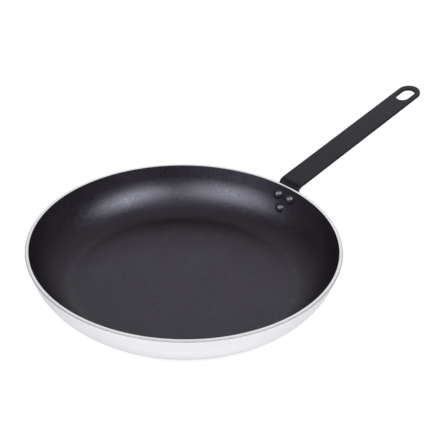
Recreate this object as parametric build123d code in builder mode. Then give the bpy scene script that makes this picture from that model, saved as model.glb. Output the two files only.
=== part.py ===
from build123d import *
from math import asin, cos, degrees, hypot, isclose, radians, sin, sqrt, tan
import os

# An omelette pan: a spun aluminium pan with a non-stick lining, and a handle bent from one steel strip
# that three rivets hold to the wall. Sizes are in millimetres and angles in degrees.
# X runs along the handle, Z is up, and the origin is the centre of the base's underside.

# Pan
rim_diameter = 300.0  # outside, across the rounded top edge
pan_height = 45.0  # underside of the base to the rim
wall_angle = 72.0  # slope of the straight upper wall above the horizontal
wall_bend_radius = 51.0  # outside radius of the long bend below the straight wall
base_bend_radius = 40.0  # outside radius of the tighter bend that goes on down into the base
bend_change_angle = 36.0  # slope at which the two bends meet
metal_thickness = 3.3
coating_thickness = 0.3
rim_edge_radius = 0.8  # rounding of the rim's outer corner

# Handle
strip_width = 25.4
strip_thickness = 3.2
grip_slope = 10.0  # rise of the grip above the horizontal
grip_rise = 3.4  # height of the grip's top face over the rim's outer edge
grip_reach = 215.3  # from above the rim's outer edge to the tip, along the grip
handle_bend_radius = 9.0  # on the top face, where the flange turns into the grip
flange_length = 36.0  # how far the flange runs down the wall from the rim
flange_corner_radius = 10.0
strip_edge_radius = 0.6
hang_slot_width = 14.5
hang_slot_length = 24.0
hang_slot_margin = 6.4  # between the slot's outer end and the tip
slot_edge_radius = 0.4

# Rivets
shank_diameter = 6.0
head_diameter = 10.8  # domed head inside the pan
head_height = 4.6
tail_diameter = 8.8  # lower dome formed over the flange
tail_height = 2.0
rivet_spacing = 15.4  # between the two upper rivets
upper_rivet_drop = 11.4  # from the rim to the upper rivets, down the wall
lower_rivet_drop = 24.3

# Fits
flange_seat_gap = 0.05  # between the flange and the pan's wall
rivet_hole_clearance = 0.05  # round each shank
overrun = 5.0  # by which a cut passes the face it leaves

# The wall and the grip as rises, runs and ends
wall_rise = sin(radians(wall_angle))
wall_run = cos(radians(wall_angle))
change_rise = sin(radians(bend_change_angle))
change_run = cos(radians(bend_change_angle))
grip_lift = sin(radians(grip_slope))
grip_run = cos(radians(grip_slope))
wall_stack = metal_thickness + coating_thickness
rim_corner_radius = rim_diameter / 2 + rim_edge_radius * (1 / tan(radians(wall_angle / 2)) - 1)
base_bend_height = base_bend_radius * (1 - change_run)
wall_bend_height = wall_bend_radius * (change_run - wall_run)
straight_wall = (pan_height - base_bend_height - wall_bend_height) / wall_rise

# The centre of the wall's long bend, and the edge of the flat base
bend_centre_radius = rim_corner_radius - straight_wall * wall_run - wall_bend_radius * wall_rise
bend_centre_height = pan_height - straight_wall * wall_rise + wall_bend_radius * wall_run
base_radius = bend_centre_radius + (wall_bend_radius - base_bend_radius) * change_rise


def bowl(inset, top_height):
    # A solid that fills the pan's outer face moved in by inset, up to a flat top.
    # Above the rim its wall runs straight on.
    top_radius = rim_corner_radius - inset / wall_rise + (top_height - pan_height) * wall_run / wall_rise
    with BuildPart() as filled:
        with BuildSketch(Plane.XZ):
            with BuildLine():
                floor = Line((0, inset), (base_radius, inset))
                lower = JernArc(floor @ 1, floor % 1, base_bend_radius - inset, bend_change_angle)
                upper = JernArc(lower @ 1, lower % 1, wall_bend_radius - inset, wall_angle - bend_change_angle)
                Polyline(upper @ 1, (top_radius, top_height), (0, top_height), floor @ 0)
            make_face()
        revolve(axis=Axis.Z)
    return filled.part


def wall_station(drop):
    # Radius, height and slope of the pan's outer face at a distance down the wall from the rim, which
    # ends above the tighter bend.
    if drop <= straight_wall:
        return rim_corner_radius - drop * wall_run, pan_height - drop * wall_rise, wall_angle
    slope = wall_angle - degrees((drop - straight_wall) / wall_bend_radius)
    radius = bend_centre_radius + wall_bend_radius * sin(radians(slope))
    height = bend_centre_height - wall_bend_radius * cos(radians(slope))
    return radius, height, slope


def rivet_site(drop, side_step):
    # A plane on the pan's outer face under a rivet, with its normal pointing out of the pan.
    radius, height, slope = wall_station(drop)
    turn = asin(side_step / radius)
    outward = sin(radians(slope))
    return Plane(
        origin=(radius * cos(turn), side_step, height),
        x_dir=(-sin(turn), cos(turn), 0),
        z_dir=(outward * cos(turn), outward * sin(turn), -cos(radians(slope))),
    )


pan_inside = bowl(wall_stack, pan_height + overrun)
rivet_sites = {
    "rivet_left": rivet_site(upper_rivet_drop, rivet_spacing / 2),
    "rivet_right": rivet_site(upper_rivet_drop, -rivet_spacing / 2),
    "rivet_lower": rivet_site(lower_rivet_drop, 0),
}

# One drill from outside goes through the flange, the wall and the lining.
hole_radius = shank_diameter / 2 + rivet_hole_clearance
drill_depth = strip_thickness + wall_stack + 2 * overrun
drill_starts = [site.offset(strip_thickness + overrun) for site in rivet_sites.values()]

with BuildPart() as pan_body:
    add(bowl(0, pan_height))
    rim_corner = pan_body.edges().filter_by(GeomType.CIRCLE).sort_by(Edge.radius)[-1]
    fillet(rim_corner, rim_edge_radius)
    add(bowl(metal_thickness, pan_height + overrun), mode=Mode.SUBTRACT)
    with Locations(*drill_starts):
        Hole(hole_radius, drill_depth)
pan_body.part.label = "pan_body"

with BuildPart() as nonstick_coating:
    add(bowl(metal_thickness, pan_height))
    add(pan_inside, mode=Mode.SUBTRACT)
    with Locations(*drill_starts):
        Hole(hole_radius, drill_depth)
nonstick_coating.part.label = "nonstick_coating"


# The flange is pressed on until its side edges meet the round wall. Its middle sinks in by as much as
# the wall falls back over half the strip's width at the flange's lower end.
half_width = strip_width / 2
flange_end_radius, flange_end_height, flange_end_slope = wall_station(flange_length)
flange_sink = flange_end_radius - sqrt(flange_end_radius**2 - half_width**2)

# The strip's upper side is drawn as two straight lines that meet in a corner above the rim, which the
# handle's bend then rounds off.
corner_rise = (grip_rise - (rim_diameter / 2 - rim_corner_radius + flange_sink) * grip_lift / grip_run) / (
    1 - grip_lift / grip_run * wall_run / wall_rise
)
bend_corner = (rim_corner_radius - flange_sink + corner_rise * wall_run / wall_rise, pan_height + corner_rise)
straight_grip = grip_reach - half_width
tip_centre = (
    rim_diameter / 2 + straight_grip * grip_run,
    pan_height + grip_rise + straight_grip * grip_lift,
)
grip_plane = Plane(
    origin=(tip_centre[0], 0, tip_centre[1]),
    x_dir=(grip_run, 0, grip_lift),
    z_dir=(-grip_lift, 0, grip_run),
)


def through_strip(edge):
    # An edge that runs from one side of the strip straight to the other.
    return isclose(edge.length, strip_thickness)


with BuildPart() as bent_strip:
    with BuildSketch(Plane.XZ):
        with BuildLine():
            flange_line = CenterArc(
                center=(bend_centre_radius - flange_sink, bend_centre_height),
                radius=wall_bend_radius,
                start_angle=flange_end_slope - 90,
                arc_size=wall_angle - flange_end_slope,
            )
            FilletPolyline(flange_line @ 1, bend_corner, tip_centre, radius=handle_bend_radius)
            offset(amount=strip_thickness, side=Side.RIGHT)
        make_face()
    extrude(amount=half_width, both=True)

    flange_end = bent_strip.faces().sort_by(Axis.Z)[0]
    fillet(flange_end.edges().filter_by(Axis.Y, reverse=True), flange_corner_radius)
    with BuildSketch(grip_plane):
        Circle(half_width)
    extrude(amount=-strip_thickness)
    outline = bent_strip.edges() - bent_strip.edges().filter_by(through_strip)
    fillet(outline, strip_edge_radius)

    with BuildSketch(grip_plane.offset(overrun)):
        with Locations((half_width - hang_slot_margin - hang_slot_length / 2, 0)):
            SlotOverall(hang_slot_length, hang_slot_width)
    extrude(amount=-strip_thickness - 2 * overrun, mode=Mode.SUBTRACT)
    slot_edges = bent_strip.edges(Select.LAST)
    fillet(slot_edges - slot_edges.filter_by(through_strip), slot_edge_radius)

with BuildPart() as handle:
    add(bent_strip.part)
    add(bowl(-flange_seat_gap, pan_height + overrun), mode=Mode.SUBTRACT)
    with Locations(*drill_starts):
        Hole(hole_radius, drill_depth)
handle.part.label = "handle"


def rivet(site):
    # One rivet, driven square to the wall: a domed head inside, and a lower dome over the flange.
    wall_falls_back = hypot(site.origin.X, site.origin.Y) - site.origin.X
    flange_face = strip_thickness - (flange_sink - wall_falls_back) * site.z_dir.X
    axis = Axis(site.origin, site.z_dir)
    section_plane = Plane(origin=site.origin, x_dir=site.x_dir, z_dir=-site.y_dir)
    with BuildPart() as driven:
        with BuildSketch(section_plane):
            with BuildLine():
                dome = TangentArc(
                    (0, -wall_stack - head_height), (head_diameter / 2, -wall_stack), tangent=(1, 0)
                )
                Polyline(dome @ 1, (head_diameter / 2, 0), (0, 0), dome @ 0)
            make_face()
        revolve(axis=axis)
        add(pan_inside, mode=Mode.INTERSECT)

        with BuildSketch(section_plane):
            with BuildLine():
                dome = TangentArc(
                    (0, flange_face + tail_height), (tail_diameter / 2, flange_face), tangent=(1, 0)
                )
                Polyline(dome @ 1, (tail_diameter / 2, 0), (0, 0), dome @ 0)
            make_face()
        revolve(axis=axis)
        add(bent_strip.part, mode=Mode.SUBTRACT)

        with BuildSketch(site.offset(-wall_stack - head_height / 2)):
            Circle(shank_diameter / 2)
        extrude(amount=head_height / 2 + wall_stack + flange_face + tail_height / 2)
    return driven.part


os.makedirs("parts", exist_ok=True)
export_step(pan_body.part, "parts/pan_body.step")
export_step(nonstick_coating.part, "parts/nonstick_coating.step")
export_step(handle.part, "parts/handle.step")
for name, site in rivet_sites.items():
    fastener = rivet(site)
    fastener.label = name
    export_step(fastener, f"parts/{name}.step")
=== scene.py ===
import math

import bmesh
import bpy
from mathutils import Euler, Matrix, Vector


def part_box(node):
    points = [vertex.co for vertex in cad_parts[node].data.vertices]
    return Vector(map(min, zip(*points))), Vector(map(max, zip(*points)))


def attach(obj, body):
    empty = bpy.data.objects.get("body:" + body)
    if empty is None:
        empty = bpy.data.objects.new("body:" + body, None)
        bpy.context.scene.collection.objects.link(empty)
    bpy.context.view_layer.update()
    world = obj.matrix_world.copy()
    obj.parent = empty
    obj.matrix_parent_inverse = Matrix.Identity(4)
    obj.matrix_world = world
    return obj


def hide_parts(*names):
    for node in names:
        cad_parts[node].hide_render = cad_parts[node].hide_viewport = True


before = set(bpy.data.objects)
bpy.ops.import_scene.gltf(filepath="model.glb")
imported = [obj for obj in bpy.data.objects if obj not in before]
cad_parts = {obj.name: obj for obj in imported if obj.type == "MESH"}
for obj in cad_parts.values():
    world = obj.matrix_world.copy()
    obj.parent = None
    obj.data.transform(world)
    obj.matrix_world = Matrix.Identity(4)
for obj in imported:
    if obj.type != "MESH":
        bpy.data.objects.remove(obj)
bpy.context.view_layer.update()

panLow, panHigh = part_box("pan_body")
handleLow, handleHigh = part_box("handle")
print("frame loaded:", len(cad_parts), "nodes")


# Small helpers for node trees, meshes and profiles

def addNode(tree, kind, inputs=None, **settings):
    made = tree.nodes.new(kind)
    for name, value in settings.items():
        setattr(made, name, value)
    for socket, value in (inputs or {}).items():
        if isinstance(value, bpy.types.NodeSocket):
            tree.links.new(value, made.inputs[socket])
        else:
            made.inputs[socket].default_value = value
    return made


def addMath(tree, operation, *values):
    return addNode(tree, "ShaderNodeMath", dict(enumerate(values)), operation=operation).outputs[0]


def addVectorMath(tree, operation, *values):
    made = addNode(tree, "ShaderNodeVectorMath", dict(enumerate(values)), operation=operation)
    return made.outputs["Value"] if operation in {"LENGTH", "DOT_PRODUCT"} else made.outputs[0]


def addSockets(tree, inputs, outputs):
    for name, kind, default in inputs:
        socket = tree.interface.new_socket(name, in_out="INPUT", socket_type=kind)
        if default is not None:
            socket.default_value = default
    for name, kind in outputs:
        tree.interface.new_socket(name, in_out="OUTPUT", socket_type=kind)
    return tree.nodes.new("NodeGroupInput").outputs, tree.nodes.new("NodeGroupOutput").inputs


def meshObject(name, points, edges=(), faces=()):
    mesh = bpy.data.meshes.new(name)
    mesh.from_pydata(points, edges, faces)
    made = bpy.data.objects.new(name, mesh)
    bpy.context.scene.collection.objects.link(made)
    return made


def profileObject(name, points):
    # An open outline in the XY plane: X is the distance from the axis, Y is the height.
    return meshObject(name, [(x, y, 0) for x, y in points], [(i, i + 1) for i in range(len(points) - 1)])


def arc(centre, radius, start, end, steps):
    angles = [math.radians(start + (end - start) * i / steps) for i in range(steps + 1)]
    return [(centre[0] + radius * math.cos(a), centre[1] + radius * math.sin(a)) for a in angles]


def applyModifiers(piece):
    depsgraph = bpy.context.evaluated_depsgraph_get()
    mesh = bpy.data.meshes.new_from_object(piece.evaluated_get(depsgraph), depsgraph=depsgraph)
    material = [m for m in mesh.materials if m][0]
    mesh.materials.clear()
    mesh.materials.append(material)
    mesh.polygons.foreach_set("material_index", [0] * len(mesh.polygons))
    piece.data = mesh
    piece.modifiers.clear()
    mesh.name = piece.name
    return piece


def runTree(piece, tree, values):
    modifier = piece.modifiers.new("build", "NODES")
    modifier.node_group = tree
    for item in tree.interface.items_tree:
        if item.in_out == "INPUT" and item.name in values:
            modifier[item.identifier] = values[item.name]
    return applyModifiers(piece)


# The pan's section, which the metal, the lining, the rivets and the handle all follow

pan = {
    "wallAngle": 72.0,       # degrees above the horizontal
    "wallBend": 0.051,       # outside radius of the long bend below the straight wall
    "baseBend": 0.040,       # outside radius of the tighter bend down into the base
    "bendChange": 36.0,      # slope in degrees where the two bends meet
    "metal": 0.0033,
    "lining": 0.0003,
    "rimEdge": 0.0008,       # rounding of the rim's outer corner
    "liningEdge": 0.00012,   # rounding where the lining ends at the rim
    "floorRings": (0, 0.25, 0.5, 0.75, 0.9),   # as shares of the flat base
    "bendSteps": 22,         # in each of the two bends
    "edgeSteps": 12,         # in the rim's rounding
    "liningEdgeSteps": 6,
    # Loops beside the roundings, so that the straight wall and the flat rim shade as they are.
    "wallCuts": (0.006, 0.0016),             # down the wall from the rim
    "liningCuts": (0.006, 0.0016, 0.0004),
    "flatCut": 0.0002,                       # in from the rim's rounding
    "around": 360,
}

panHeight = panHigh.z
rimRadius = panHigh.x
wallTilt = math.radians(pan["wallAngle"])
changeTilt = math.radians(pan["bendChange"])
wallRise, wallRun = math.sin(wallTilt), math.cos(wallTilt)
rimCorner = rimRadius + pan["rimEdge"] * (1 / math.tan(wallTilt / 2) - 1)
changeRise, changeRun = math.sin(changeTilt), math.cos(changeTilt)
bentHeight = pan["baseBend"] * (1 - changeRun) + pan["wallBend"] * (changeRun - wallRun)
straightWall = (panHeight - bentHeight) / wallRise
wallBendCentre = (rimCorner - straightWall * wallRun - pan["wallBend"] * wallRise,
                  bentHeight + pan["wallBend"] * wallRun)
baseRadius = wallBendCentre[0] + (pan["wallBend"] - pan["baseBend"]) * changeRise


def bowlFace(inset, cuts=pan["wallCuts"]):
    # The pan's outer face moved in by inset, from the axis up to the rim's plane.
    floor = [(baseRadius * share, inset) for share in pan["floorRings"]]
    lower = arc((baseRadius, pan["baseBend"]), pan["baseBend"] - inset, -90, pan["bendChange"] - 90,
                pan["bendSteps"])
    upper = arc(wallBendCentre, pan["wallBend"] - inset, pan["bendChange"] - 90, pan["wallAngle"] - 90,
                pan["bendSteps"])
    top = rimCorner - inset / wallRise
    wall = [(top - drop * wallRun, panHeight - drop * wallRise) for drop in cuts]
    return floor + lower + upper[1:] + wall + [(top, panHeight)]


def wallRadius(height):
    # Radius of the outer face at a height over the tighter bend.
    # Above the rim the wall runs straight on.
    if height >= bentHeight:
        return rimCorner - (panHeight - height) * wallRun / wallRise
    return wallBendCentre[0] + math.sqrt(pan["wallBend"] ** 2 - (wallBendCentre[1] - height) ** 2)


def wallStation(drop):
    # Radius, height and slope of the outer face at a distance down the wall from the rim.
    # It holds down to the tighter bend.
    if drop <= straightWall:
        return rimCorner - drop * wallRun, panHeight - drop * wallRise, wallTilt
    slope = wallTilt - (drop - straightWall) / pan["wallBend"]
    return (wallBendCentre[0] + pan["wallBend"] * math.sin(slope),
            wallBendCentre[1] - pan["wallBend"] * math.cos(slope), slope)


# Geometry Nodes: a lathe, a drilled shell of revolution, and rivets driven at their sites

def latheTree():
    tree = bpy.data.node_groups.new("lathe", "GeometryNodeTree")
    given, made = addSockets(tree, [
        ("Profile", "NodeSocketGeometry", None),
        ("Around", "NodeSocketInt", 64),
        ("Path Radius", "NodeSocketFloat", 0.1),
        ("Weld", "NodeSocketFloat", 1e-6),
    ], [("Mesh", "NodeSocketGeometry")])
    outline = addNode(tree, "GeometryNodeMeshToCurve", {"Mesh": given["Profile"]})
    backward = addMath(tree, "MULTIPLY", given["Path Radius"], -1.0)
    shift = addNode(tree, "ShaderNodeCombineXYZ", {"X": backward})
    moved = addNode(tree, "GeometryNodeTransform", {
        "Geometry": outline.outputs["Curve"], "Translation": shift.outputs[0],
        "Rotation": Euler((math.pi, 0, 0))})
    path = addNode(tree, "GeometryNodeCurvePrimitiveCircle", {
        "Resolution": given["Around"], "Radius": given["Path Radius"]})
    swept = addNode(tree, "GeometryNodeCurveToMesh", {
        "Curve": path.outputs["Curve"], "Profile Curve": moved.outputs[0]})
    closed = addNode(tree, "GeometryNodeMergeByDistance", {
        "Geometry": swept.outputs["Mesh"], "Distance": given["Weld"]})
    outward = addNode(tree, "GeometryNodeFlipFaces", {"Mesh": closed.outputs[0]})
    tree.links.new(outward.outputs[0], made["Mesh"])
    return tree


def smoothTree():
    tree = bpy.data.node_groups.new("smoothByAngle", "GeometryNodeTree")
    given, made = addSockets(tree, [
        ("Mesh", "NodeSocketGeometry", None),
        ("Angle", "NodeSocketFloat", math.radians(32)),
    ], [("Mesh", "NodeSocketGeometry")])
    faces = addNode(tree, "GeometryNodeSetShadeSmooth", {"Geometry": given["Mesh"], "Shade Smooth": True})
    angle = addNode(tree, "GeometryNodeInputMeshEdgeAngle")
    soft = addNode(tree, "FunctionNodeCompare", {
        "A": angle.outputs["Unsigned Angle"], "B": given["Angle"]},
        data_type="FLOAT", operation="LESS_THAN")
    edges = addNode(tree, "GeometryNodeSetShadeSmooth", {
        "Geometry": faces.outputs[0], "Shade Smooth": soft.outputs[0]}, domain="EDGE")
    tree.links.new(edges.outputs[0], made["Mesh"])
    return tree


def sitesInTree(tree, sites):
    # The rivet sites as points, and the turn that lays each point's Z along its own axis.
    info = addNode(tree, "GeometryNodeObjectInfo", {"Object": sites})
    axis = addNode(tree, "GeometryNodeInputNamedAttribute", {"Name": "axis"}, data_type="FLOAT_VECTOR")
    turn = addNode(tree, "FunctionNodeAlignRotationToVector", {"Vector": axis.outputs[0]}, axis="Z")
    return info.outputs["Geometry"], turn.outputs[0]


def spunShellTree(lathe, smooth):
    tree = bpy.data.node_groups.new("spunShell", "GeometryNodeTree")
    given, made = addSockets(tree, [
        ("Profile", "NodeSocketGeometry", None),
        ("Around", "NodeSocketInt", 360),
        ("Path Radius", "NodeSocketFloat", 0.1),
        ("Rivet Sites", "NodeSocketObject", None),
        ("Hole Radius", "NodeSocketFloat", 0.003),
        ("Hole Depth", "NodeSocketFloat", 0.02),
        ("Hole Sides", "NodeSocketInt", 48),
        ("Material", "NodeSocketMaterial", None),
    ], [("Geometry", "NodeSocketGeometry")])
    shell = addNode(tree, "GeometryNodeGroup", node_tree=lathe)
    for name in ("Profile", "Around", "Path Radius"):
        tree.links.new(given[name], shell.inputs[name])
    drill = addNode(tree, "GeometryNodeMeshCylinder", {
        "Vertices": given["Hole Sides"], "Radius": given["Hole Radius"], "Depth": given["Hole Depth"]})
    points, turn = sitesInTree(tree, given["Rivet Sites"])
    drills = addNode(tree, "GeometryNodeInstanceOnPoints", {
        "Points": points, "Instance": drill.outputs["Mesh"], "Rotation": turn})
    solid = addNode(tree, "GeometryNodeRealizeInstances", {"Geometry": drills.outputs[0]})
    drilled = addNode(tree, "GeometryNodeMeshBoolean", {
        "Mesh 1": shell.outputs[0], "Mesh 2": solid.outputs[0]}, operation="DIFFERENCE", solver="EXACT")
    smoothed = addNode(tree, "GeometryNodeGroup", {"Mesh": drilled.outputs["Mesh"]}, node_tree=smooth)
    plain = addNode(tree, "GeometryNodeRealizeInstances", {"Geometry": smoothed.outputs[0]})
    finished = addNode(tree, "GeometryNodeSetMaterial", {
        "Geometry": plain.outputs[0], "Material": given["Material"]})
    tree.links.new(finished.outputs[0], made["Geometry"])
    return tree


def drivenRivetTree(lathe, smooth):
    tree = bpy.data.node_groups.new("drivenRivets", "GeometryNodeTree")
    given, made = addSockets(tree, [
        ("Profile", "NodeSocketGeometry", None),
        ("Around", "NodeSocketInt", 64),
        ("Path Radius", "NodeSocketFloat", 0.003),
        ("Rivet Sites", "NodeSocketObject", None),
        ("Bare From", "NodeSocketFloat", 0.0),
        ("Material", "NodeSocketMaterial", None),
    ], [("Geometry", "NodeSocketGeometry")])
    turned = addNode(tree, "GeometryNodeGroup", node_tree=lathe)
    for name in ("Profile", "Around", "Path Radius"):
        tree.links.new(given[name], turned.inputs[name])
    position = addNode(tree, "GeometryNodeInputPosition").outputs[0]
    height = addNode(tree, "ShaderNodeSeparateXYZ", {0: position})
    outside = addMath(tree, "GREATER_THAN", height.outputs["Z"], given["Bare From"])
    marked = addNode(tree, "GeometryNodeStoreNamedAttribute", {
        "Geometry": turned.outputs[0], "Name": "bare", "Value": outside}, data_type="FLOAT", domain="POINT")
    smoothed = addNode(tree, "GeometryNodeGroup", {"Mesh": marked.outputs[0]}, node_tree=smooth)
    points, turn = sitesInTree(tree, given["Rivet Sites"])
    driven = addNode(tree, "GeometryNodeInstanceOnPoints", {
        "Points": points, "Instance": smoothed.outputs[0], "Rotation": turn})
    plain = addNode(tree, "GeometryNodeRealizeInstances", {"Geometry": driven.outputs[0]})
    finished = addNode(tree, "GeometryNodeSetMaterial", {
        "Geometry": plain.outputs[0], "Material": given["Material"]})
    tree.links.new(finished.outputs[0], made["Geometry"])
    return tree


lathe = latheTree()
smooth = smoothTree()
spunShell = spunShellTree(lathe, smooth)
drivenRivets = drivenRivetTree(lathe, smooth)
print("geometry node trees built")


# Shared surface effects, as shader node groups

noiseSpan = {"From Min": 0.3, "From Max": 0.7}   # what nearly all of a noise texture falls within


def grainGroup():
    # A fine pebbled film, as sprayed coatings dry: a height for bump and an even scatter from 0 to 1.
    tree = bpy.data.node_groups.new("sprayedGrain", "ShaderNodeTree")
    given, made = addSockets(tree, [
        ("Grains per Metre", "NodeSocketFloat", 2000.0),
        ("Flow per Metre", "NodeSocketFloat", 400.0),
    ], [("Height", "NodeSocketFloat"), ("Scatter", "NodeSocketFloat")])
    place = addNode(tree, "ShaderNodeTexCoord").outputs["Object"]
    fine = addNode(tree, "ShaderNodeTexNoise", {
        "Vector": place, "Scale": given["Grains per Metre"], "Detail": 2.0, "Roughness": 0.6})
    flow = addNode(tree, "ShaderNodeTexNoise", {
        "Vector": place, "Scale": given["Flow per Metre"], "Detail": 1.0, "Roughness": 0.5})
    height = addMath(tree, "MULTIPLY_ADD", flow.outputs[0], 0.8, fine.outputs[0])
    flakes = addNode(tree, "ShaderNodeTexVoronoi", {"Vector": place, "Scale": given["Grains per Metre"]})
    scatter = addNode(tree, "ShaderNodeSeparateColor", {0: flakes.outputs["Color"]})
    tree.links.new(height, made["Height"])
    tree.links.new(scatter.outputs[0], made["Scatter"])
    return tree


def turnedGroup():
    # Fine rings round the pan's axis, as spinning and turning leave them.
    tree = bpy.data.node_groups.new("turnedRings", "ShaderNodeTree")
    given, made = addSockets(tree, [
        ("Rings per Metre", "NodeSocketFloat", 1500.0),
        ("Waver", "NodeSocketFloat", 0.02),
    ], [("Height", "NodeSocketFloat"), ("Tone", "NodeSocketFloat")])
    place = addNode(tree, "ShaderNodeTexCoord").outputs["Object"]
    parts = addNode(tree, "ShaderNodeSeparateXYZ", {0: place})
    flat = addNode(tree, "ShaderNodeCombineXYZ", {"X": parts.outputs["X"], "Y": parts.outputs["Y"]})
    radius = addVectorMath(tree, "LENGTH", flat.outputs[0])
    around = addVectorMath(tree, "NORMALIZE", flat.outputs[0])
    ring = addNode(tree, "ShaderNodeCombineXYZ", {"X": radius, "Y": parts.outputs["Z"]})
    scaled = addNode(tree, "ShaderNodeVectorMath", {
        0: ring.outputs[0], "Scale": given["Rings per Metre"]}, operation="SCALE")
    drift = addNode(tree, "ShaderNodeVectorMath", {0: around, "Scale": given["Waver"]}, operation="SCALE")
    sample = addVectorMath(tree, "ADD", scaled.outputs[0], drift.outputs[0])
    rings = addNode(tree, "ShaderNodeTexNoise", {
        "Vector": sample, "Scale": 1.0, "Detail": 3.0, "Roughness": 0.65})
    broad = addNode(tree, "ShaderNodeTexNoise", {
        "Vector": sample, "Scale": 0.12, "Detail": 1.0, "Roughness": 0.5})
    tree.links.new(rings.outputs[0], made["Height"])
    tree.links.new(broad.outputs[0], made["Tone"])
    return tree


def smearGroup():
    # Large soft patches, for the slight unevenness of a handled or sprayed surface.
    tree = bpy.data.node_groups.new("softPatches", "ShaderNodeTree")
    given, made = addSockets(tree, [
        ("Patches per Metre", "NodeSocketFloat", 30.0),
        ("Low", "NodeSocketFloat", 0.0),
        ("High", "NodeSocketFloat", 1.0),
    ], [("Value", "NodeSocketFloat")])
    place = addNode(tree, "ShaderNodeTexCoord").outputs["Object"]
    patches = addNode(tree, "ShaderNodeTexNoise", {
        "Vector": place, "Scale": given["Patches per Metre"], "Detail": 4.0, "Roughness": 0.55})
    ranged = addNode(tree, "ShaderNodeMapRange", {
        "Value": patches.outputs[0], "To Min": given["Low"], "To Max": given["High"], **noiseSpan})
    tree.links.new(ranged.outputs[0], made["Value"])
    return tree


grain = grainGroup()
turned = turnedGroup()
smears = smearGroup()


def emptyTree(owner):
    # The cleared node tree of a material or of the world.
    owner.use_nodes = True
    owner.node_tree.nodes.clear()
    return owner.node_tree


def newMaterial(name, shaderValues):
    material = bpy.data.materials.new(name)
    tree = emptyTree(material)
    shader = addNode(tree, "ShaderNodeBsdfPrincipled", shaderValues)
    addNode(tree, "ShaderNodeOutputMaterial", {"Surface": shader.outputs[0]})
    return material, tree, shader


def addGroup(tree, group, values):
    return addNode(tree, "ShaderNodeGroup", values, node_tree=group).outputs


def addBump(tree, shader, height, distance, strength):
    bump = addNode(tree, "ShaderNodeBump", {
        "Height": height, "Distance": distance, "Strength": strength})
    tree.links.new(bump.outputs[0], shader.inputs["Normal"])


def mixColor(tree, factor, first, second):
    made = addNode(tree, "ShaderNodeMix", {0: factor, 6: first, 7: second}, data_type="RGBA")
    return made.outputs[2]


# Pan body: bare spun aluminium

spunMetal = {
    "pale": (0.94, 0.925, 0.965, 1),
    "deep": (0.89, 0.875, 0.915, 1),
    "cornerShade": (0.45, 0.445, 0.47, 1),   # the rim's outer corner, painted darker: painted shade for the dark room that the rounded corner reflects
    "cornerShadeBand": 0.0008,              # how far down from the rim the painted shade is full
    "cornerShadeFrom": (0.05, 0.25),        # where the painted shade sets in, as shares of the band
    "cornerShadeTo": 1.5,                   # where the painted shade has gone, as a share of the band
    "cornerShadeRoughness": 0.75,
    "patchesPerMetre": 26.0,            # of uneven shine
    "ringsPerMetre": 1600.0,
    "ringDepth": 0.00003,
    "ringStrength": 0.3,
    "roughnessLow": 0.14,
    "roughnessHigh": 0.20,
}


def spunMetalMaterial():
    material, tree, shader = newMaterial("spunAluminium", {"Metallic": 1.0})
    rings = addGroup(tree, turned, {"Rings per Metre": spunMetal["ringsPerMetre"]})
    patches = addGroup(tree, smears, {
        "Patches per Metre": spunMetal["patchesPerMetre"],
        "Low": spunMetal["roughnessLow"], "High": spunMetal["roughnessHigh"]})
    tone = addNode(tree, "ShaderNodeMapRange", {"Value": rings["Tone"], **noiseSpan})
    color = mixColor(tree, tone.outputs[0], spunMetal["deep"], spunMetal["pale"])
    place = addNode(tree, "ShaderNodeTexCoord").outputs["Object"]
    height = addNode(tree, "ShaderNodeSeparateXYZ", {0: place}).outputs["Z"]
    # A band round the rim's outer corner is painted darker, as painted shade for the dark room that the
    # rounded corner reflects, and is also made rougher.
    drop = addMath(tree, "SUBTRACT", panHeight, height)
    band = spunMetal["cornerShadeBand"]
    first, full = spunMetal["cornerShadeFrom"]
    begins = addNode(tree, "ShaderNodeMapRange", {
        "Value": drop, "From Min": band * first, "From Max": band * full})
    ends = addNode(tree, "ShaderNodeMapRange", {
        "Value": drop, "From Min": band * spunMetal["cornerShadeTo"], "From Max": band})
    cornerShade = addMath(tree, "MULTIPLY", begins.outputs[0], ends.outputs[0])
    color = mixColor(tree, cornerShade, color, spunMetal["cornerShade"])
    tree.links.new(color, shader.inputs["Base Color"])
    roughness = addNode(tree, "ShaderNodeMix", {
        0: cornerShade, 2: patches["Value"], 3: spunMetal["cornerShadeRoughness"]})
    tree.links.new(roughness.outputs[0], shader.inputs["Roughness"])
    addBump(tree, shader, rings["Height"], spunMetal["ringDepth"], spunMetal["ringStrength"])
    return material


# Lining: black non-stick film, sprayed and baked

liningFinish = {
    "black": (0.0050, 0.0022, 0.0036, 1),
    "fleck": (0.0074, 0.0050, 0.0068, 1),
    "fleckFrom": 0.93,          # share of the grains that stay black
    "patchesPerMetre": 22.0,    # of uneven shine
    "grainsPerMetre": 1150.0,
    "flowPerMetre": 260.0,
    "grainDepth": 0.00026,
    "grainStrength": 0.38,
    "roughnessLow": 0.34,
    "roughnessHigh": 0.39,
    "roughnessScatter": 0.175,  # from one grain to the next
    "ior": 1.7,
    "shineTint": (0.79, 0.79, 1.0, 1),
}


def filmMaterial(name, finish):
    material, tree, shader = newMaterial(name, {
        "IOR": finish["ior"], "Specular Tint": finish["shineTint"]})
    film = addGroup(tree, grain, {
        "Grains per Metre": finish["grainsPerMetre"], "Flow per Metre": finish["flowPerMetre"]})
    patches = addGroup(tree, smears, {
        "Patches per Metre": finish["patchesPerMetre"],
        "Low": finish["roughnessLow"], "High": finish["roughnessHigh"]})
    flecks = addMath(tree, "GREATER_THAN", film["Scatter"], finish["fleckFrom"])
    color = mixColor(tree, flecks, finish["black"], finish["fleck"])
    tree.links.new(color, shader.inputs["Base Color"])
    aroundZero = addMath(tree, "SUBTRACT", film["Scatter"], 0.5)
    uneven = addMath(tree, "MULTIPLY_ADD", aroundZero, finish["roughnessScatter"], patches["Value"])
    tree.links.new(uneven, shader.inputs["Roughness"])
    addBump(tree, shader, film["Height"], finish["grainDepth"], finish["grainStrength"])
    return material, tree, shader


# Handle: steel strip under a black baked coating

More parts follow.
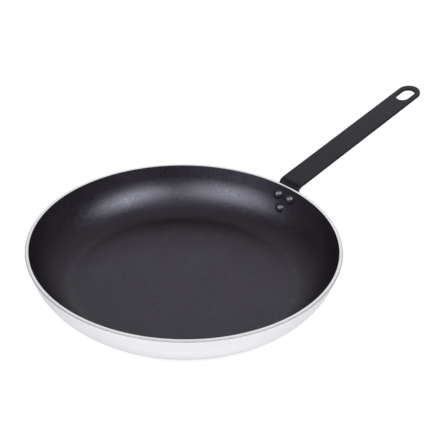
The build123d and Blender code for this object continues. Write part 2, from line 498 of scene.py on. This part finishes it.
handleFinish = {
    "black": (0.0036, 0.0028, 0.0040, 1),
    "fleck": (0.007, 0.006, 0.008, 1),
    "fleckFrom": 0.9,
    "patchesPerMetre": 22.0,
    "grainsPerMetre": 1100.0,
    "flowPerMetre": 300.0,
    "grainDepth": 0.00006,
    "grainStrength": 0.3,
    "roughnessLow": 0.29,
    "roughnessHigh": 0.35,
    "roughnessScatter": 0.1,
    "shearedRoughness": 0.85,   # of the strip's cut edges
    "ior": 1.508,
    "shineTint": (0.88, 0.82, 1.0, 1),
}

# Rivets: coated with the lining inside, bare aluminium outside

rivetFinish = {
    "black": (0.0036, 0.0028, 0.0040, 1),
    "fleck": (0.008, 0.007, 0.010, 1),
    "fleckFrom": 0.9,
    "patchesPerMetre": 22.0,
    "grainsPerMetre": 1800.0,
    "flowPerMetre": 500.0,
    "grainDepth": 0.00004,
    "grainStrength": 0.25,
    "roughnessLow": 0.35,
    "roughnessHigh": 0.41,
    "roughnessScatter": 0.1,
    "ior": 1.95,
    "shineTint": (0.90, 0.88, 1.0, 1),
    "bareMetal": (0.83, 0.83, 0.82, 1),
}


def handleSteelMaterial():
    material, tree, shader = filmMaterial("bakedBlackSteel", handleFinish)
    sheared = addNode(tree, "ShaderNodeAttribute", attribute_name="sheared").outputs["Fac"]
    faces = shader.inputs["Roughness"].links[0].from_socket
    mixed = addNode(tree, "ShaderNodeMix", {
        0: sheared, 2: faces, 3: handleFinish["shearedRoughness"]})
    tree.links.new(mixed.outputs[0], shader.inputs["Roughness"])
    return material


def rivetMaterial():
    material, tree, shader = filmMaterial("rivetHeadsAndTails", rivetFinish)
    bare = addNode(tree, "ShaderNodeAttribute", attribute_name="bare").outputs["Fac"]
    coated = shader.inputs["Base Color"].links[0].from_socket
    color = mixColor(tree, bare, coated, rivetFinish["bareMetal"])
    tree.links.new(color, shader.inputs["Base Color"])
    tree.links.new(bare, shader.inputs["Metallic"])
    return material


aluminiumMaterial = spunMetalMaterial()
liningMaterial = filmMaterial("nonstickLining", liningFinish)[0]
handleMaterial = handleSteelMaterial()
rivetsMaterial = rivetMaterial()
print("materials built")


# Rivet sites on the wall, from the rim down

rivets = {
    "shank": 0.006,           # diameter
    "head": 0.0108,           # domed head inside, diameter
    "headHeight": 0.0046,
    "tail": 0.0088,           # lower dome outside, diameter
    "tailHeight": 0.0020,
    "spacing": 0.0154,        # between the two upper rivets
    "upperDrop": 0.0114,
    "lowerDrop": 0.0243,
    "clearance": 0.00005,     # round each shank
    "holeDepth": 0.020,       # of the drills, half of it each way
    "holeSides": 48,
    "seat": 0.0004,           # how far a head's rim reaches into the curved wall
    "around": 64,
    "domeSteps": 14,
}


def rivetSites():
    points, axes = [], []
    for drop, side in ((rivets["upperDrop"], rivets["spacing"] / 2),
                       (rivets["upperDrop"], -rivets["spacing"] / 2),
                       (rivets["lowerDrop"], 0.0)):
        radius, height, slope = wallStation(drop)
        turn = math.asin(side / radius)
        outward = math.sin(slope)
        points.append((radius * math.cos(turn), side, height))
        axes.append((outward * math.cos(turn), outward * math.sin(turn), -math.cos(slope)))
    made = meshObject("rivetSites", points)
    attribute = made.data.attributes.new("axis", "FLOAT_VECTOR", "POINT")
    for i, axis in enumerate(axes):
        attribute.data[i].vector = axis
    made.hide_render = True
    return made


sites = rivetSites()
holeValues = {
    "Rivet Sites": sites,
    "Hole Radius": rivets["shank"] / 2 + rivets["clearance"],
    "Hole Depth": rivets["holeDepth"],
    "Hole Sides": rivets["holeSides"],
}


# Pan body

def spinShell(name, section, material):
    return runTree(profileObject(name, section), spunShell, {
        "Around": pan["around"], "Path Radius": rimRadius, "Material": material, **holeValues})


def roundedRim():
    # From the outer wall over the rounded corner on to the flat of the rim.
    edge = pan["rimEdge"]
    corner = arc((rimRadius - edge, panHeight - edge), edge, pan["wallAngle"] - 90, 90, pan["edgeSteps"])
    return corner + [(rimRadius - edge - pan["flatCut"], panHeight)]


def makePanBody():
    outside = bowlFace(0)[:-1] + roundedRim()
    inside = list(reversed(bowlFace(pan["metal"])))
    piece = spinShell("panBody", outside + inside, aluminiumMaterial)
    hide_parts("pan_body")
    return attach(piece, "root")


def makeLining():
    outside = bowlFace(pan["metal"])
    inside = bowlFace(pan["metal"] + pan["lining"], pan["liningCuts"])
    edge = pan["liningEdge"]
    top = inside.pop()
    rounded = arc((top[0] + edge, top[1] - edge), edge, 90, 90 + pan["wallAngle"], pan["liningEdgeSteps"])
    piece = spinShell("nonstickLining", outside + rounded + list(reversed(inside)), liningMaterial)
    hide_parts("nonstick_coating")
    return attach(piece, "root")


panBody = makePanBody()
lining = makeLining()
print("pan body made:", len(panBody.data.polygons), "faces")
print("lining made:", len(lining.data.polygons), "faces")


# Handle: a flat blank, cut and rounded, then bent along the strip's path

handle = {
    "width": handleHigh.y - handleLow.y,
    "thickness": 0.0032,
    "gripSlope": 10.0,         # degrees above the horizontal
    "gripRise": 0.0034,        # the grip's top face over the rim's outer edge
    "gripReach": 0.2153,       # from over the rim's outer edge to the tip
    "bendRadius": 0.009,       # on the top face
    "flangeLength": 0.036,     # down the wall from the rim
    "cornerRadius": 0.010,     # at the flange's lower end
    "edge": 0.0006,            # rounding of the outline
    "slotEdge": 0.0004,        # rounding of the slot
    "slotWidth": 0.0145,
    "slotLength": 0.024,
    "slotMargin": 0.0064,      # between the slot's outer end and the tip
    "seatGap": 0.00005,        # between the flange and the wall
    "turnStep": 3.0,           # degrees of bend between two cuts
    "gripCuts": 14,
    "flangeCuts": 4,           # lengthways, on each half of the flange
    "edgeSegments": 4,
    "cornerSteps": 14,
    "tipSteps": 24,
    "slotSteps": 16,           # in each quarter of the slot's outline
    "sharpAngle": 60.0,        # degrees, over which an edge of the blank is rounded
    "cutTolerance": 1e-7,
    "weldDistance": 1e-6,
    "slotSlack": 1e-5,         # beyond the slot's outline, when its edges are picked out
}


def flangeSink():
    # The flange is pressed on until its side edges meet the round wall, and its middle sinks in by this.
    endRadius = wallStation(handle["flangeLength"])[0]
    return endRadius - math.sqrt(endRadius ** 2 - (handle["width"] / 2) ** 2)


def stripPath():
    # Stations along the strip's upper side: [length, x, z, slope in radians].
    endSlope = wallStation(handle["flangeLength"])[2]
    sink = flangeSink()
    grip = math.radians(handle["gripSlope"])
    rise = (handle["gripRise"] - (rimRadius - rimCorner + sink) * math.tan(grip)) / (
        1 - math.tan(grip) * wallRun / wallRise)
    corner = (rimCorner - sink + rise * wallRun / wallRise, panHeight + rise)
    turn = wallTilt - grip
    cutBack = handle["bendRadius"] * math.tan(turn / 2)
    stations = []

    def addArc(centre, radius, fromSlope, toSlope, side):
        steps = max(1, round(abs(math.degrees(toSlope - fromSlope)) / handle["turnStep"]))
        for i in range(steps + 1):
            slope = fromSlope + (toSlope - fromSlope) * i / steps
            x = centre[0] - side * radius * math.sin(slope)
            z = centre[1] + side * radius * math.cos(slope)
            stations.append([0.0, x, z, slope])

    addArc((wallBendCentre[0] - sink, wallBendCentre[1]), pan["wallBend"], endSlope, wallTilt, -1)
    start = (corner[0] - cutBack * wallRun, corner[1] - cutBack * wallRise)
    centre = (start[0] + handle["bendRadius"] * wallRise, start[1] - handle["bendRadius"] * wallRun)
    addArc(centre, handle["bendRadius"], wallTilt, grip, 1)
    reach = handle["gripReach"]
    tipX = rimRadius + reach * math.cos(grip)
    tipZ = panHeight + handle["gripRise"] + reach * math.sin(grip)
    beginX, beginZ = stations[-1][1:3]
    for i in range(1, handle["gripCuts"] + 1):
        share = i / handle["gripCuts"]
        x = beginX + (tipX - beginX) * share
        z = beginZ + (tipZ - beginZ) * share
        stations.append([0.0, x, z, grip])
    for last, here in zip(stations, stations[1:]):
        here[0] = last[0] + math.hypot(here[1] - last[1], here[2] - last[2])
    return stations


def halfBlankOutline(length):
    # The blank's half with y above zero, from the flange's lower end round the tip and the slot.
    half = handle["width"] / 2
    corner = handle["cornerRadius"]
    slot = handle["slotWidth"] / 2
    slotEnd = length - handle["slotMargin"]
    slotStart = slotEnd - handle["slotLength"]
    flangeEnd = arc((corner, half - corner), corner, 180, 90, handle["cornerSteps"])
    tip = arc((length - half, 0), half, 90, 0, handle["tipSteps"])
    outerSlot = arc((slotEnd - slot, 0), slot, 0, 90, handle["slotSteps"])
    innerSlot = arc((slotStart + slot, 0), slot, 90, 180, handle["slotSteps"])
    return [(0, 0)] + flangeEnd + tip + outerSlot + innerSlot, slotStart, slotEnd


def everything(blank):
    return blank.verts[:] + blank.edges[:] + blank.faces[:]


def cutBlank(blank, parts, point, normal):
    bmesh.ops.bisect_plane(blank, geom=parts, dist=handle["cutTolerance"], plane_co=point, plane_no=normal)


def makeHalfBlank(outline, stations, slotStart):
    # A flat plate with its middle line open, cut across at the stations and lengthways at the flange.
    blank = bmesh.new()
    top = [blank.verts.new((x, max(y, 0), 0)) for x, y in outline]
    bottom = [blank.verts.new((x, max(y, 0), -handle["thickness"])) for x, y in outline]
    blank.faces.new(top)
    blank.faces.new(bottom)
    for i in range(len(outline)):
        j = (i + 1) % len(outline)
        if max(outline[i][1], outline[j][1]) > handle["cutTolerance"]:
            blank.faces.new((top[i], top[j], bottom[j], bottom[i]))
    for station in stations[1:-1]:
        if station[0] < slotStart - handle["slotMargin"]:
            cutBlank(blank, everything(blank), (station[0], 0, 0), (1, 0, 0))
    flangeEnd = handle["flangeLength"] + handle["bendRadius"]
    for i in range(1, handle["flangeCuts"]):
        near = [f for f in blank.faces if f.calc_center_median().x < flangeEnd]
        around = [e for f in near for e in f.edges] + [v for f in near for v in f.verts]
        side = handle["width"] / 2 * i / handle["flangeCuts"]
        cutBlank(blank, list(dict.fromkeys(near + around)), (0, side, 0), (0, 1, 0))
    return blank


def makeBlank(stations):
    outline, slotStart, slotEnd = halfBlankOutline(stations[-1][0])
    blank = makeHalfBlank(outline, stations, slotStart)
    copied = bmesh.ops.duplicate(blank, geom=everything(blank))["geom"]
    for vert in copied:
        if isinstance(vert, bmesh.types.BMVert):
            vert.co.y = -vert.co.y
    bmesh.ops.remove_doubles(blank, verts=blank.verts[:], dist=handle["weldDistance"])
    bmesh.ops.recalc_face_normals(blank, faces=blank.faces[:])
    sharp = math.radians(handle["sharpAngle"])
    square = [e for e in blank.edges if e.is_manifold and e.calc_face_angle(0) > sharp]
    slack = handle["slotSlack"]

    def onSlot(edge):
        middle = (edge.verts[0].co + edge.verts[1].co) / 2
        alongSlot = slotStart - slack < middle.x < slotEnd + slack
        return alongSlot and abs(middle.y) < handle["slotWidth"] / 2 + slack

    slotEdges = [e for e in square if onSlot(e)]
    outerEdges = [e for e in square if not onSlot(e)]
    for edges, radius in ((outerEdges, handle["edge"]), (slotEdges, handle["slotEdge"])):
        bmesh.ops.bevel(
            blank, geom=edges, offset=radius, offset_type="OFFSET", profile_type="SUPERELLIPSE",
            segments=handle["edgeSegments"], profile=0.5, affect="EDGES", clamp_overlap=False)
    return blank


def putInOrder(blank):
    # Cuts and bevels leave the parts of a mesh in another order each run.
    for rank, vert in enumerate(sorted(blank.verts, key=lambda vert: vert.co[:])):
        vert.index = rank
    for parts in (blank.edges, blank.faces):
        ordered = sorted(parts, key=lambda part: sorted(vert.index for vert in part.verts))
        for rank, part in enumerate(ordered):
            part.index = rank
    for parts in (blank.verts, blank.edges, blank.faces):
        parts.sort()


def bentPoint(point, stations):
    # Where a point of the flat blank goes when the strip is bent.
    for last, here in zip(stations, stations[1:]):
        if point.x <= here[0]:
            break
    share = (point.x - last[0]) / (here[0] - last[0])
    x, z, slope = (last[i] + (here[i] - last[i]) * share for i in (1, 2, 3))
    return x - point.z * math.sin(slope), point.y, z + point.z * math.cos(slope)


def makeHandle():
    stations = stripPath()
    blank = makeBlank(stations)
    putInOrder(blank)
    blank.normal_update()
    sheared = blank.verts.layers.float.new("sheared")
    for vert in blank.verts:
        # 0 on the flat faces, and 1 once an edge's rounding has turned by 60 degrees.
        vert[sheared] = min(1.0, max(0.0, 2.0 - 2.0 * abs(vert.normal.z)))
    for vert in blank.verts:
        x, y, z = bentPoint(vert.co, stations)
        wall = wallRadius(z) + handle["seatGap"]
        if z < panHeight + handle["bendRadius"] / 2 and math.hypot(x, y) < wall:
            x = math.sqrt(wall ** 2 - y ** 2)   # the flange is pressed on to the wall
        vert.co = (x, y, z)
    piece = meshObject("handle", [])
    blank.to_mesh(piece.data)
    blank.free()
    piece.name = "stripHandle"
    piece.data.polygons.foreach_set("use_smooth", [True] * len(piece.data.polygons))
    piece.data.materials.append(handleMaterial)
    weighted = piece.modifiers.new("weightedNormals", "WEIGHTED_NORMAL")
    weighted.mode = "FACE_AREA"
    weighted.weight = 100
    applyModifiers(piece)
    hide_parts("handle")
    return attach(piece, "root")


stripHandle = makeHandle()
print("handle made:", len(stripHandle.data.polygons), "faces")


# Rivets, all three from one profile

def domeArc(radius, base, height, steps):
    # From the rim of a dome to its top; a negative height points it the other way.
    sphere = (radius ** 2 + height ** 2) / (2 * abs(height))
    sign = 1 if height > 0 else -1
    centre = base + height - sign * sphere
    widest = math.asin(min(1.0, radius / sphere))
    angles = [widest * (1 - i / steps) for i in range(steps + 1)]
    return [(sphere * math.sin(a), centre + sign * sphere * math.cos(a)) for a in angles]


def flangeFaceAtLowerRivet():
    # Depth of the flange's outer face over the wall on the middle line, where the flange sinks in most.
    return handle["thickness"] - flangeSink() * math.sin(wallStation(rivets["lowerDrop"])[2])


def makeRivets():
    # The rivet's axis is the profile's height, which is 0 on the pan's outer face and rises outwards.
    headRadius, tailRadius, shank = rivets["head"] / 2, rivets["tail"] / 2, rivets["shank"] / 2
    liningFace = -pan["metal"] - pan["lining"]
    flangeFace = flangeFaceAtLowerRivet()
    head = domeArc(headRadius, liningFace, -rivets["headHeight"], rivets["domeSteps"])
    tail = domeArc(tailRadius, flangeFace, rivets["tailHeight"], rivets["domeSteps"])
    inner = liningFace + rivets["seat"]
    outer = flangeFace - rivets["seat"]
    stem = [(headRadius, inner), (shank, inner), (shank, outer), (tailRadius, outer)]
    piece = profileObject("rivets", list(reversed(head)) + stem + tail)
    runTree(piece, drivenRivets, {
        "Around": rivets["around"], "Path Radius": shank, "Rivet Sites": sites,
        "Bare From": 0.0, "Material": rivetsMaterial})
    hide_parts("rivet_left", "rivet_right", "rivet_lower")
    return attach(piece, "root")


rivetSet = makeRivets()
bpy.data.objects.remove(sites)
print("rivets made:", len(rivetSet.data.polygons), "faces")


# Studio: white floor and surroundings, two soft boxes behind the camera's shoulders

studio = {
    "cameraAzimuth": 42.974,     # the way the lens looks, from +X towards +Y
    "floorSize": 8.0,
    "floorHeight": -0.0002,      # just under the base
    "floorWhite": (0.42, 0.42, 0.42, 1),
    "floorGlow": 0.68,           # what the camera sees on top of the lit floor
    "floorFade": (0.7, 2.2),     # distances from the pan between which its tone fades to the backdrop's
    "floorMirror": 0.31,         # what glossy surfaces see on top of the lit floor
    "roomLevel": 0.05,           # brightness of the room around the camera and at the sides
    "diffuseShare": 0.6,         # of the room and the patches, in the light that they give
}
lightPatches = {
    # name: turn right of the view, elevation, cosine at its edge, cosine where it is full, level
    "backdrop": (2, 36, 0.50, 0.87, 0.33),
    "backdropGlow": (0, 33, 0.955, 0.99, 0.47),
    "ceiling": (180, 72, 0.80, 0.95, 0.22),
}
softBoxes = {
    # name: turn right of the view, elevation, distance, width, height, tilt, watts
    "softBoxRight": (128.0, 44.0, 2.4, 1.8, 1.05, 12.0, 48.0),
    "softBoxLeft": (-141.5, 38.0, 2.4, 2.25, 1.55, 16.0, 61.0),
}


def makeFloor():
    half, height = studio["floorSize"] / 2, studio["floorHeight"]
    corners = [(x * half, y * half, height) for x, y in ((-1, -1), (1, -1), (1, 1), (-1, 1))]
    floor = meshObject("floor", corners, faces=[(0, 1, 2, 3)])
    material = bpy.data.materials.new("whiteFloor")
    tree = emptyTree(material)
    lit = addNode(tree, "ShaderNodeBsdfDiffuse", {"Color": studio["floorWhite"]})
    rays = addNode(tree, "ShaderNodeLightPath").outputs
    mirrored = addMath(tree, "MULTIPLY", rays["Is Glossy Ray"], studio["floorMirror"])
    place = addNode(tree, "ShaderNodeTexCoord").outputs["Object"]
    near, far = studio["floorFade"]
    glowing = addNode(tree, "ShaderNodeMapRange", {
        "Value": addVectorMath(tree, "LENGTH", place), "From Min": near, "From Max": far,
        "To Min": studio["floorGlow"], "To Max": 1.0}).outputs[0]
    seen = addMath(tree, "MULTIPLY_ADD", rays["Is Camera Ray"], glowing, mirrored)
    glow = addNode(tree, "ShaderNodeEmission", {"Strength": seen})
    both = addNode(tree, "ShaderNodeAddShader", {0: lit.outputs[0], 1: glow.outputs[0]})
    below = addNode(tree, "ShaderNodeNewGeometry").outputs["Backfacing"]
    clear = addNode(tree, "ShaderNodeBsdfTransparent")   # so that the underside can be looked at
    surface = addNode(tree, "ShaderNodeMixShader", {0: below, 1: both.outputs[0], 2: clear.outputs[0]})
    addNode(tree, "ShaderNodeOutputMaterial", {"Surface": surface.outputs[0]})
    floor.data.materials.append(material)


def viewDirection(turn, elevation):
    # turn is in degrees to the right of where the lens looks, and elevation above the horizon.
    azimuth = math.radians(studio["cameraAzimuth"] - turn)
    rise = math.radians(elevation)
    return Vector((math.cos(azimuth) * math.cos(rise), math.sin(azimuth) * math.cos(rise), math.sin(rise)))


def makeWorld():
    world = bpy.data.worlds.new("studio")
    bpy.context.scene.world = world
    tree = emptyTree(world)
    rays = addNode(tree, "ShaderNodeLightPath").outputs
    toward = addNode(tree, "ShaderNodeTexCoord").outputs["Generated"]
    level = studio["roomLevel"]
    for turn, elevation, edge, full, brightness in lightPatches.values():
        nearness = addVectorMath(tree, "DOT_PRODUCT", toward, viewDirection(turn, elevation))
        patch = addNode(tree, "ShaderNodeMapRange", {
            "Value": nearness, "From Min": edge, "From Max": full, "To Min": 0.0, "To Max": brightness},
            interpolation_type="SMOOTHSTEP")
        level = addMath(tree, "ADD", patch.outputs[0], level)
    given = addMath(tree, "MULTIPLY", level, studio["diffuseShare"])
    seen = addMath(tree, "MAXIMUM", rays["Is Camera Ray"], rays["Is Transmission Ray"])
    unlit = addNode(tree, "ShaderNodeMix", {0: rays["Is Glossy Ray"], 2: given, 3: level}).outputs[0]
    strength = addNode(tree, "ShaderNodeMix", {0: seen, 2: unlit, 3: 1.0}).outputs[0]
    sky = addNode(tree, "ShaderNodeBackground", {"Color": (1, 1, 1, 1), "Strength": strength})
    addNode(tree, "ShaderNodeOutputWorld", {"Surface": sky.outputs[0]})


def turnedTo(direction, axis, turn):
    # The rotation that lays an object's axis along direction, turned by degrees about its own Z.
    facing = direction.to_track_quat(axis, "Y").to_matrix().to_4x4()
    return (facing @ Matrix.Rotation(math.radians(turn), 4, "Z")).to_euler()


def makeSoftBox(name, turn, elevation, distance, width, height, tilt, watts):
    light = bpy.data.lights.new(name, "AREA")
    light.shape = "RECTANGLE"
    light.size = width
    light.size_y = height
    light.energy = watts
    lamp = bpy.data.objects.new(name, light)
    direction = viewDirection(turn, elevation)
    lamp.location = direction * distance
    lamp.rotation_euler = turnedTo(direction, "Z", tilt)
    lamp.visible_camera = False
    bpy.context.scene.collection.objects.link(lamp)


view = {
    "aim": (0.08414, 0.03322, 0.018),   # the point that the lens looks at
    "distance": 1.2348,
    "elevation": 32.660,
    "roll": 1.527,
    "lens": 99.106,                     # mm
    "frameWidth": 36.0,                 # mm
}


def makeCamera():
    data = bpy.data.cameras.new("camera")
    data.lens = view["lens"]
    data.sensor_width = view["frameWidth"]
    camera = bpy.data.objects.new("camera", data)
    away = viewDirection(0, -view["elevation"])
    camera.location = Vector(view["aim"]) - away * view["distance"]
    camera.rotation_euler = turnedTo(away, "-Z", view["roll"])
    bpy.context.scene.collection.objects.link(camera)
    bpy.context.scene.camera = camera


makeFloor()
makeWorld()
for name, values in softBoxes.items():
    makeSoftBox(name, *values)
makeCamera()
bpy.context.scene.view_settings.view_transform = "Standard"
print("studio ready")
